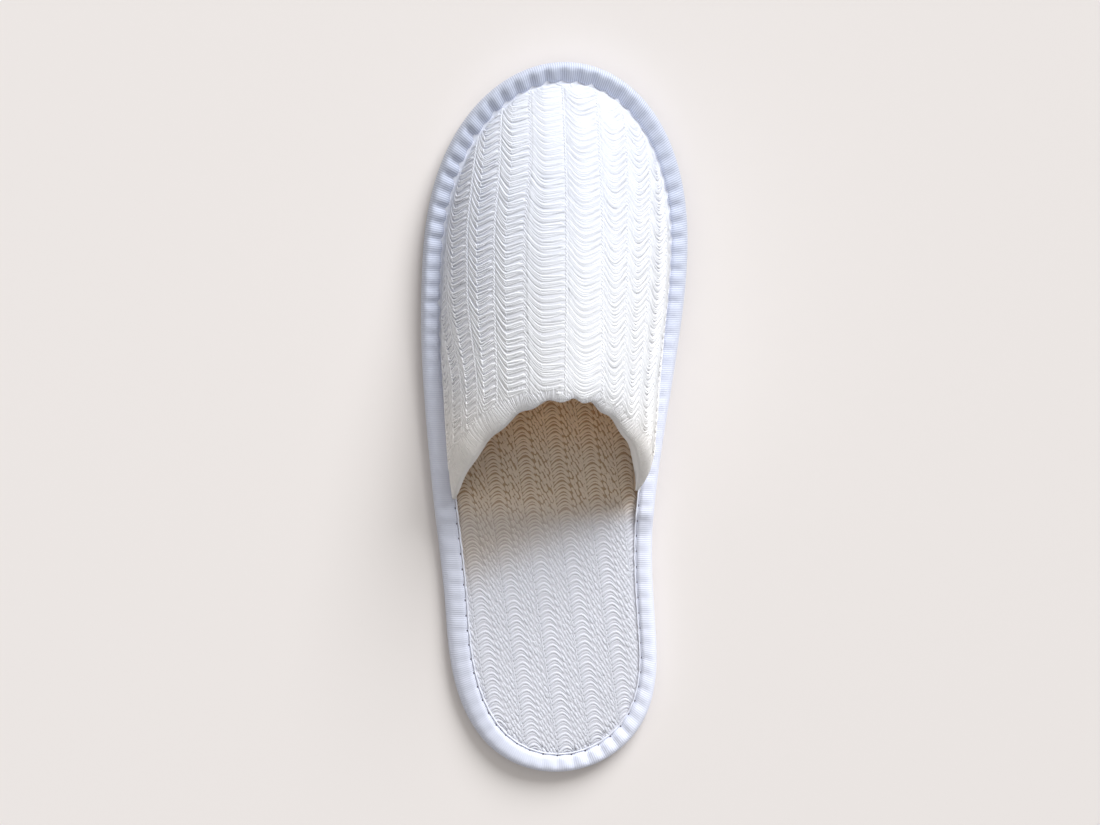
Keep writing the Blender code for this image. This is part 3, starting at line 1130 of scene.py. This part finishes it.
def inside_outline(x, y, inset):
    """How far a spot lies inside the outline drawn in by an inset, at its own distance from the heel."""
    low, high = along(0, inset), along(LENGTH, inset)
    if not low < y < high:
        return -1.0
    place = place_at(y, inset)
    return half_width(place, inset) - abs(x - read_table(MIDDLE_LINE, "shift", place))


def plate(profile):
    """A board of the outline's shape, its edge given as (inset, z) steps."""
    bm = bmesh.new()
    turns = [turn_at(LOOP * k / 240) for k in range(240)]
    rings = [[bm.verts.new(edge_point(turn, inset, z)) for turn in turns] for inset, z in profile]
    for low, high in zip(rings, rings[1:]):
        edges = []
        for ring in (low, high):
            for k, vert in enumerate(ring):
                after = ring[(k + 1) % len(ring)]
                edges.append(bm.edges.get((vert, after)) or bm.edges.new((vert, after)))
        bmesh.ops.bridge_loops(bm, edges=edges)
    for ring in (rings[0], rings[-1]):
        bm.faces.new(ring)
    bmesh.ops.triangulate(bm, faces=[face for face in bm.faces if len(face.verts) > 4])
    return bm


def build_insole():
    top = INSOLE_TOP - INSOLE_GROUND
    held = [(0.0076, 0.0006), (0.0086, 0.0005), (0.0096, 0.0003), (0.0106, 0.0001), (0.0116, 0.0)]
    profile = [(0.0030, SOLE_TOP + 0.0003), (0.0030, top - 0.0008), (0.0034, top - 0.0006)]
    bm = plate(profile + [(inset, top - dip) for inset, dip in held])
    obj = piece("insole_board", bm, [insole_cloth])
    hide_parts("insole")


ARCH_PEAK = 0.295
ARCH_LEFT = 0.0019
ARCH_RIGHT = 0.0042


def arch_fall(c):
    """How far the arched strands have dropped towards the heel: steep on the right of their peak."""
    drop = ARCH_LEFT if c < ARCH_PEAK else ARCH_RIGHT
    return drop * ((c - ARCH_PEAK) / 0.25) ** 2


def insole_height(x, y):
    """The insole's knit dips where the tape's lip holds it down."""
    return INSOLE_TOP - 0.0006 * ease((0.004 - inside_outline(x, y, 0.0075)) / 0.004)


def insole_spot(column, b, lift):
    """A spot of the insole's knit: columns across, b metres towards the toe along them."""
    a = column * INSOLE_PERIOD
    b -= INSOLE_STAGGER * INSOLE_ROW * (column // 1)
    x = a * cos(INSOLE_SLANT) - b * sin(INSOLE_SLANT) + INSOLE_SHIFT
    y = a * sin(INSOLE_SLANT) + b * cos(INSOLE_SLANT)
    if y > INSOLE_KNIT_TOP or inside_outline(x, y, 0.0066) < 0:
        return None
    return on_foot(x, y, insole_height(x, y) + lift)


def cut_insole(spots):
    return split_runs([(insole_spot(column, b, lift), radius) for column, b, lift, radius in spots])


# Arched strands of each row: where they start and end across a period, how far down the row they lie, how
# thick they are, and how far they stand out.
FLATTENED = 0.4
ARCHES = table(
    "first last drop radius stand",
    (-0.01, 0.560, 0.00, 0.00058, 0.00020),
    (0.01, 0.520, 0.46, 0.00037, 0.00005),
)
# Beside them lie wales of short slanting stitches, thick and thin by turns: where one starts across a
# period, how far down the row, how thick it is, and how far it stands out.
WALES = table(
    "first drop radius stand",
    (0.550, 0.60, 0.00060, 0.00012),
    (0.625, 0.40, 0.00052, 0.00007),
    (0.700, 1.15, 0.00060, 0.00012),
    (0.775, 0.95, 0.00052, 0.00007),
    (0.850, 1.70, 0.00060, 0.00012),
    (0.925, 1.50, 0.00052, 0.00007),
)
WALE_LENGTH = 0.0034
WALE_LEAN = 0.085
INSOLE_TWIST = 0.016
INSOLE_THREAD = 0.00030


def build_insole_yarns():
    arches, wales = [], []
    for column in range(FIRST_COLUMN, LAST_COLUMN + 1):
        for row in range(-4, int(LENGTH / INSOLE_ROW) + 12):
            row_shift = vary(-0.0002, 0.0002)
            for arch in ARCHES:
                thick = arch.radius * vary(0.88, 1.12)
                height = arch.stand * vary(0.8, 1.2) - thick * FLATTENED
                shift = row_shift + vary(-0.00012, 0.00012)
                spots = []
                for k in range(INSOLE_STEPS + 1):
                    t = k / INSOLE_STEPS
                    c = mix(arch.first, arch.last, t)
                    b = (row - arch.drop) * INSOLE_ROW - arch_fall(c) + shift
                    swell = min(t / 0.2, (1 - t) / 0.12, 1.0)
                    lift = mix(-thick * FLATTENED - 0.00003, height, swell)
                    spots.append((column + c, b, lift, thick * mix(1.05, 0.75, t)))
                arches += cut_insole(spots)
            for wale in WALES:
                start = (row - wale.drop) * INSOLE_ROW + vary(-0.0004, 0.0004)
                first = wale.first + vary(-0.02, 0.02)
                lean = WALE_LEAN * vary(0.7, 1.3)
                high = wale.stand * vary(0.6, 1.4) - wale.radius * FLATTENED
                low = high - 0.00012
                wales += cut_insole([
                    (column + first + lean * t, start - WALE_LENGTH * t, lift, wale.radius * share)
                    for t, share, lift in ((0, 0.7, low), (0.3, 1, high), (0.7, 1, high), (1, 0.7, low))
                ])
    yarns("insole_arches", arches, insole_yarn, sides=8, squash=FLATTENED)
    yarns("insole_wales", wales, insole_yarn, squash=FLATTENED)


def build_insole_ridges():
    """A thin thread runs down the left of each line of arches."""
    runs = []
    for column in range(FIRST_COLUMN, LAST_COLUMN + 1):
        spots = []
        for k in range(int(LENGTH / INSOLE_ROW) * 4 + 32):
            across = column + INSOLE_TWIST * sin(pi * k / 2 + vary(-0.5, 0.5))
            spots.append((across, k * INSOLE_ROW / 4 - 0.01, -0.00008, INSOLE_THREAD))
        runs += cut_insole(spots)
    yarns("insole_ridges", runs, insole_yarn, sides=4)


# ---------------- sole
DOT_PITCH = 0.0054
DOT_RADIUS = 0.00105
DOT_TURN = radians(30)


def build_sole():
    bm = plate([(0.0088, 0.0007), (0.0030, 0.0009), (0.0014, 0.0026), (0.0014, SOLE_TOP - 0.0001)])
    obj = piece("sole_board", bm, [sole_grey])
    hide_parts("sole")


def build_dots():
    dot = bmesh.new()
    bmesh.ops.create_uvsphere(dot, u_segments=10, v_segments=6, radius=DOT_RADIUS)
    bmesh.ops.scale(dot, vec=(1, 1, 0.76), verts=dot.verts)
    mould = mesh_from("dot_mould", dot)
    bm = bmesh.new()
    at = Vector((0, 0, 0))
    reach = int(LENGTH / DOT_PITCH)
    for i in range(-reach, reach + 1):
        for j in range(-reach, reach + 1):
            a, b = i * DOT_PITCH, j * DOT_PITCH
            x = a * cos(DOT_TURN) - b * sin(DOT_TURN)
            y = a * sin(DOT_TURN) + b * cos(DOT_TURN) + LENGTH / 2
            if inside_outline(x, y, 0.0105) < 0:
                continue
            spot = on_foot(x, y, 0.0008)
            mould.transform(Matrix.Translation(spot - at))
            at = spot
            bm.from_mesh(mould)
    bpy.data.meshes.remove(mould)
    obj = piece("sole_dots", bm, [dot_white], recalc=False)


# ---------------- camera and light
CAMERA_TARGET = Vector((-0.0014, 0.0040, 0.0))
CAMERA_AWAY = 0.9
CAMERA_TO_TOE = radians(7)
CAMERA_TO_LEFT = radians(3)
SUN_FROM = Vector((0.365, 0.755, 0.520))
SOFTBOX_AT = Vector((-0.4, 0.5, 3.1))


def build_camera():
    data = bpy.data.cameras.new("camera")
    data.lens = 73.5
    data.sensor_width = 36
    away = Vector((
        -sin(CAMERA_TO_LEFT),
        sin(CAMERA_TO_TOE) * cos(CAMERA_TO_LEFT),
        cos(CAMERA_TO_TOE) * cos(CAMERA_TO_LEFT),
    ))
    z = away.normalized()
    x = Vector((0, 1, 0)).cross(z).normalized()
    turn = Matrix((x, z.cross(x), z)).transposed().to_4x4()
    camera = put("camera", data)
    camera.matrix_world = Matrix.Translation(CAMERA_TARGET + CAMERA_AWAY * away) @ turn
    bpy.context.scene.camera = camera


def lamp(name, kind, power, colour, side):
    """A lamp that shines from a side towards the slipper."""
    light = bpy.data.lights.new(name, kind)
    light.energy = power
    light.color = colour
    holder = put(name, light)
    holder.rotation_euler = side.to_track_quat("Z", "Y").to_euler()
    return holder


def build_studio():
    bm = bmesh.new()
    bmesh.ops.create_grid(bm, x_segments=1, y_segments=1, size=6)
    floor = put("floor", mesh_from("floor", bm, material("floor_paper", (0.775, 0.731, 0.706), 0.8)))
    floor.location.z = -0.0002
    world = bpy.data.worlds.new("studio")
    world.use_nodes = True
    background = world.node_tree.nodes["Background"]
    background.inputs["Color"].default_value = (1.0, 0.98, 0.95, 1)
    background.inputs["Strength"].default_value = 0.155
    bpy.context.scene.world = world
    sun = lamp("key", "SUN", 3.80, (0.955, 0.975, 1.0), SUN_FROM)
    sun.data.angle = radians(33)
    softbox = lamp("softbox", "AREA", 48, (1, 0.985, 0.97), SOFTBOX_AT)
    softbox.data.shape = "DISK"
    softbox.data.size = 4.7
    softbox.location = SOFTBOX_AT
    bpy.context.scene.view_settings.view_transform = "Standard"


build_camera()
build_studio()
shell = build_upper_cloth()
knit = build_upper_yarns() + [build_upper_knots(), build_upper_ridges(), build_hem_gathers()]
tape = build_tape()
build_stitches()
build_lips()
build_insole()
build_insole_yarns()
build_insole_ridges()
build_sole()
build_dots()
